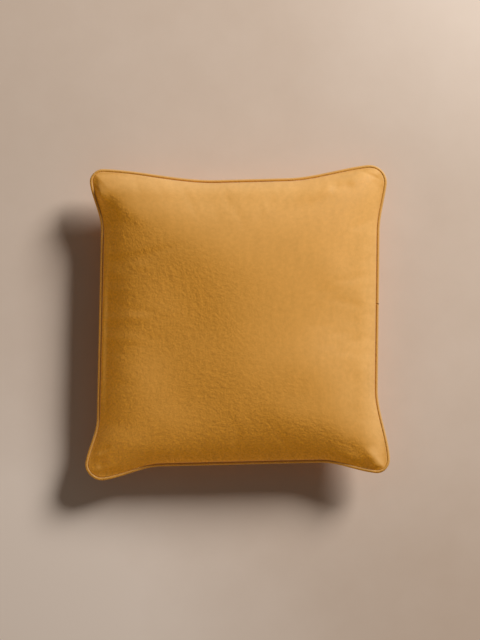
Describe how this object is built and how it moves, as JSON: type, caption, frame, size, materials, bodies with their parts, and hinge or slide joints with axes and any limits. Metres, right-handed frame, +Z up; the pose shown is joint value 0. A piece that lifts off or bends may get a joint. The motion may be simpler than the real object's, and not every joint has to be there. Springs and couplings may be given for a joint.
{
  "type": "square scatter cushion with piped edge",
  "caption": "Square velvet scatter cushion with a piped knife edge, lying on its back with its front panel up.",
  "frame": {"origin": "on the surface that the cushion rests on, below the middle of the rectangle round its piping", "axes": "+Z up out of the front panel, +Y towards the far side as pictured, +X towards the side where the piping's ends meet"},
  "size_m": [0.4524, 0.4692, 0.1109],
  "materials": {
    "velvet": "mustard short-pile velvet, matt with a soft sheen",
    "piping_velvet": "the same mustard velvet cut on the bias and wrapped round a cord"
  },
  "bodies": {
    "root": {"cushion_body": "velvet", "piping": "piping_velvet"}
  },
  "joints": []
}
